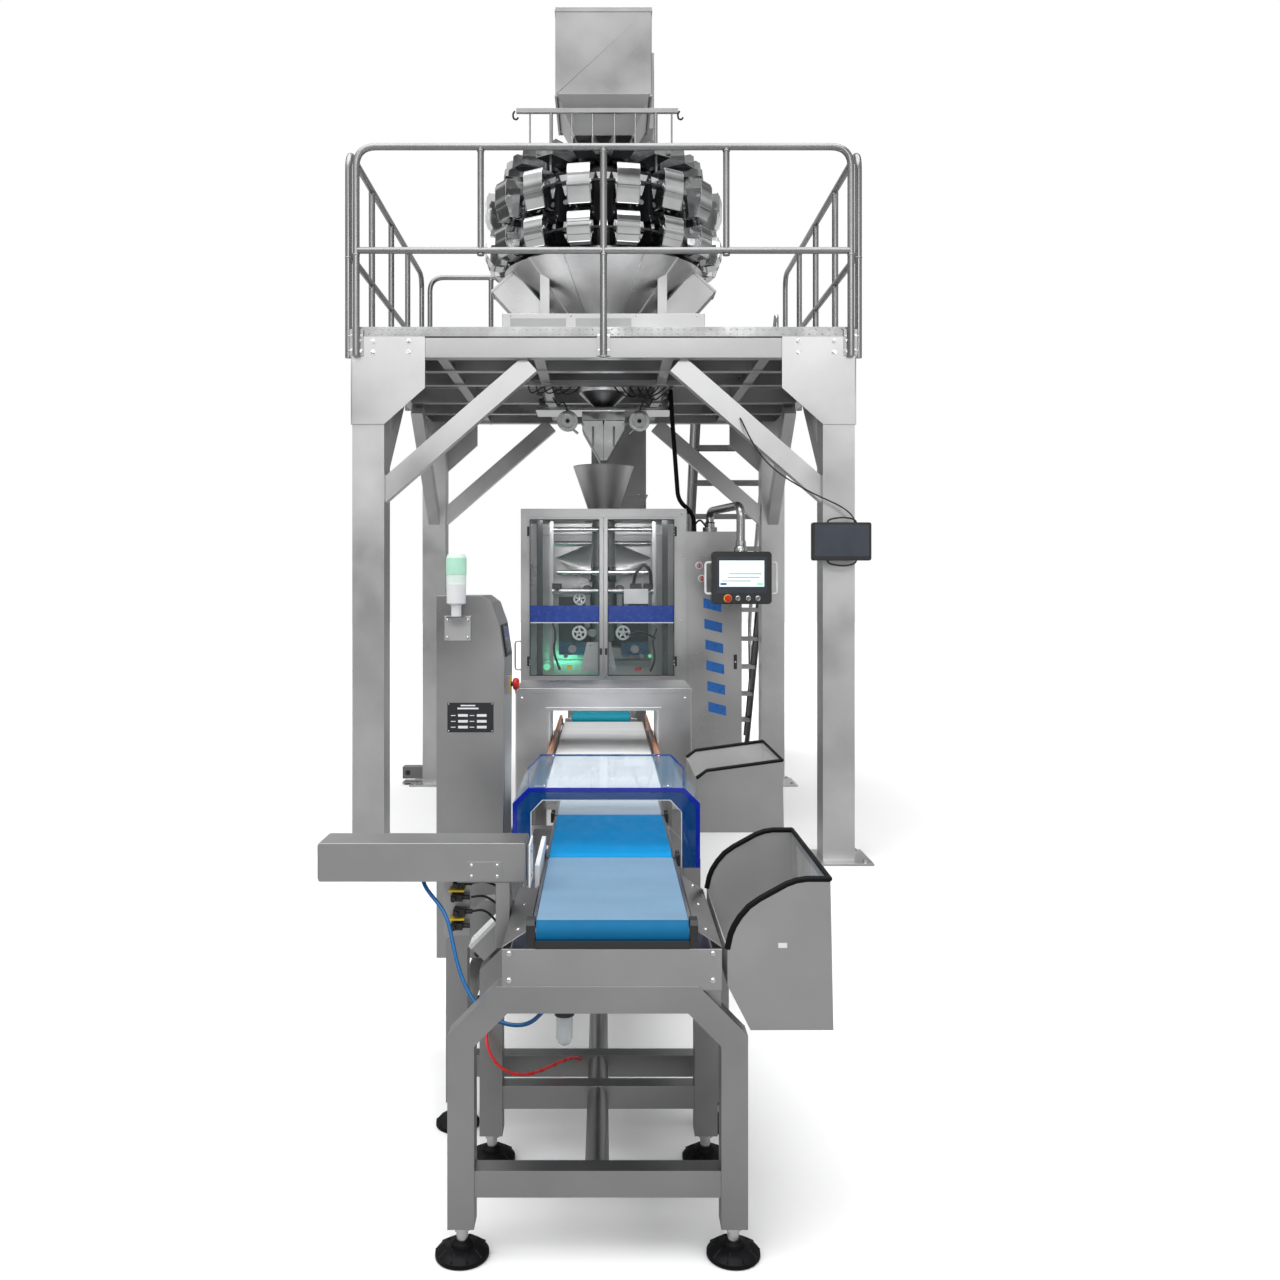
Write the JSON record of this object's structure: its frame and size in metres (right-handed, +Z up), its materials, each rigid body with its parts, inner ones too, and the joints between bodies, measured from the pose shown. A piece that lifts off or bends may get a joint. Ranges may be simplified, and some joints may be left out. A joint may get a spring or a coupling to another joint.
{
  "type": "vertical form fill sealer line",
  "caption": "Stainless bagging line: sealer with glazed doors under a multihead weigher platform, then metal detector, checkweigher and reject bins.",
  "frame": {"origin": "on the floor under the middle of the line", "axes": "+Z up, -Y towards the outfeed end, +X to the operator's right"},
  "size_m": [2.929, 8.658, 5.24],
  "materials": {
    "brushed_stainless": "brushed sheet and tube",
    "polished_stainless": "polished sheet",
    "frame_stainless": "satin welded tube",
    "deck_checker": "raised checker pattern",
    "weigher_core": "satin black drive housings",
    "door_glazing": "clear panes in a steel rim",
    "belt_white": "matte food belt",
    "belt_blue": "matte food belt",
    "belt_pale_blue": "matte food belt",
    "belt_teal": "matte food belt",
    "drum_steel": "turned steel",
    "film": "wound clear film",
    "black_plastic": "fine texture",
    "stop_red": "smooth",
    "beacon_lens": "ribbed translucent lens",
    "acrylic_blue": "clear sheet with blue edge band",
    "hose_blue": "polyurethane air line",
    "hose_red": "polyurethane air line",
    "cable_black": "matte jacket",
    "belt_rubber_black": "pull belt"
  },
  "bodies": {
    "line": {"column_front_left": "brushed_stainless", "column_front_right": "brushed_stainless", "column_rear_left": "brushed_stainless", "column_rear_right": "brushed_stainless", "deck_frame": "brushed_stainless", "deck_plate": "deck_checker", "guard_rail_front": "brushed_stainless", "guard_rail_left": "brushed_stainless", "guard_rail_right": "brushed_stainless", "guard_rail_rear": "brushed_stainless", "ladder": "brushed_stainless", "elevator_casing": "brushed_stainless", "weigher_base": "brushed_stainless", "weigher_body": "weigher_core", "feeder_pans": "polished_stainless", "feed_hoppers": "polished_stainless", "weigh_hoppers": "polished_stainless", "collecting_chute": "polished_stainless", "timing_hopper": "polished_stainless", "sealer_frame": "brushed_stainless", "forming_tube": "polished_stainless", "forming_collar": "polished_stainless", "electric_cabinet": "brushed_stainless", "weight_display": "black_plastic", "takeaway_frame": "frame_stainless", "takeaway_belt": "belt_teal", "detector_head": "brushed_stainless", "detector_stand": "frame_stainless", "detector_belt": "belt_white", "checkweigher_frame": "frame_stainless", "outfeed_belt": "belt_pale_blue", "weigh_belt": "belt_blue", "infeed_belt": "belt_pale_blue", "checkweigher_stand": "frame_stainless", "control_cabinet": "brushed_stainless", "signal_beacon": "beacon_lens", "pusher_housing": "brushed_stainless", "air_filter": "drum_steel", "blue_air_hose": "hose_blue", "red_air_hose": "hose_red", "display_cable": "cable_black"},
    "timing_flap_l": {"timing_flap_left": "polished_stainless"},
    "timing_flap_r": {"timing_flap_right": "polished_stainless"},
    "door_l": {"door_left": "door_glazing"},
    "door_r": {"door_right": "door_glazing"},
    "pull_belt_l": {"pull_belt_left": "belt_rubber_black"},
    "pull_belt_r": {"pull_belt_right": "belt_rubber_black"},
    "jaw_front": {"sealing_jaw_front": "drum_steel"},
    "jaw_rear": {"sealing_jaw_rear": "drum_steel"},
    "film_reel": {"film_roll": "film"},
    "swing_arm": {"panel_arm": "brushed_stainless"},
    "panel": {"operator_panel": "black_plastic"},
    "panel_stop": {"panel_stop_button": "stop_red"},
    "drum_front": {"outfeed_drum_front": "drum_steel"},
    "drum_rear": {"outfeed_drum_rear": "drum_steel"},
    "hood": {"tunnel_hood": "acrylic_blue"},
    "pusher": {"pusher_plate": "drum_steel"},
    "stop": {"stop_button": "stop_red"},
    "bin_front": {"reject_bin_front": "brushed_stainless"},
    "bin_rear": {"reject_bin_rear": "brushed_stainless"}
  },
  "joints": [
    {"name": "timing_flap_left_open", "type": "hinge", "parent": "line", "child": "timing_flap_l", "pos_m": [-0.134, 0.785, 2.56], "axis": [0, 1, 0], "range_deg": [0, 28]},
    {"name": "timing_flap_right_open", "type": "hinge", "parent": "line", "child": "timing_flap_r", "pos_m": [0.134, 0.785, 2.56], "axis": [0, -1, 0], "range_deg": [0, 28]},
    {"name": "door_left_swing", "type": "hinge", "parent": "line", "child": "door_l", "pos_m": [-0.466, 0.285, 1.44], "axis": [0, 0, -1], "range_deg": [0, 98]},
    {"name": "door_right_swing", "type": "hinge", "parent": "line", "child": "door_r", "pos_m": [0.447, 0.285, 1.44], "axis": [0, 0, 1], "range_deg": [0, 98]},
    {"name": "pull_belt_left_release", "type": "slide", "parent": "line", "child": "pull_belt_l", "axis": [-1, 0, 0], "range_m": [0, 0.03]},
    {"name": "pull_belt_right_release", "type": "slide", "parent": "line", "child": "pull_belt_r", "axis": [1, 0, 0], "range_m": [0, 0.03]},
    {"name": "jaw_front_close", "type": "slide", "parent": "line", "child": "jaw_front", "axis": [0, 1, 0], "range_m": [0, 0.0255]},
    {"name": "jaw_rear_close", "type": "slide", "parent": "line", "child": "jaw_rear", "axis": [0, -1, 0], "range_m": [0, 0.0255]},
    {"name": "film_roll_spin", "type": "hinge", "parent": "line", "child": "film_reel", "pos_m": [0, 1.5, 0.76], "axis": [1, 0, 0], "continuous": true},
    {"name": "panel_arm_swing", "type": "hinge", "parent": "line", "child": "swing_arm", "pos_m": [0.665, 0.39, 1.88], "axis": [0, 0, 1], "range_deg": [-15, 75]},
    {"name": "panel_swivel", "type": "hinge", "parent": "swing_arm", "child": "panel", "pos_m": [0.79, -0.19, 1.745], "axis": [0, 0, 1], "range_deg": [-60, 60]},
    {"name": "panel_stop_press", "type": "slide", "parent": "panel", "child": "panel_stop", "axis": [0, 1, 0], "range_m": [0, 0.006], "stiffness_N_per_m": 800},
    {"name": "outfeed_drum_front_spin", "type": "hinge", "parent": "line", "child": "drum_front", "pos_m": [0.02, -4.267, 0.734], "axis": [1, 0, 0], "continuous": true},
    {"name": "outfeed_drum_rear_spin", "type": "hinge", "parent": "line", "child": "drum_rear", "pos_m": [0.02, -3.668, 0.734], "axis": [1, 0, 0], "continuous": true},
    {"name": "hood_lift", "type": "hinge", "parent": "line", "child": "hood", "pos_m": [0.273, -3.22, 0.712], "axis": [0, 1, 0], "range_deg": [0, 60]},
    {"name": "pusher_extend", "type": "slide", "parent": "line", "child": "pusher", "axis": [1, 0, 0], "range_m": [0, 0.3]},
    {"name": "stop_button_press", "type": "slide", "parent": "line", "child": "stop", "axis": [-1, 0, 0], "range_m": [0, 0.006], "stiffness_N_per_m": 800},
    {"name": "reject_bin_front_lift", "type": "slide", "parent": "line", "child": "bin_front", "axis": [1, 0, 0], "range_m": [0, 0.4]},
    {"name": "reject_bin_rear_lift", "type": "slide", "parent": "line", "child": "bin_rear", "axis": [1, 0, 0], "range_m": [0, 0.4]}
  ],
  "couplings": [
    {"joint": "timing_flap_right_open", "follows": "timing_flap_left_open", "ratio": 1},
    {"joint": "pull_belt_right_release", "follows": "pull_belt_left_release", "ratio": 1},
    {"joint": "jaw_rear_close", "follows": "jaw_front_close", "ratio": 1},
    {"joint": "outfeed_drum_rear_spin", "follows": "outfeed_drum_front_spin", "ratio": 1}
  ]
}
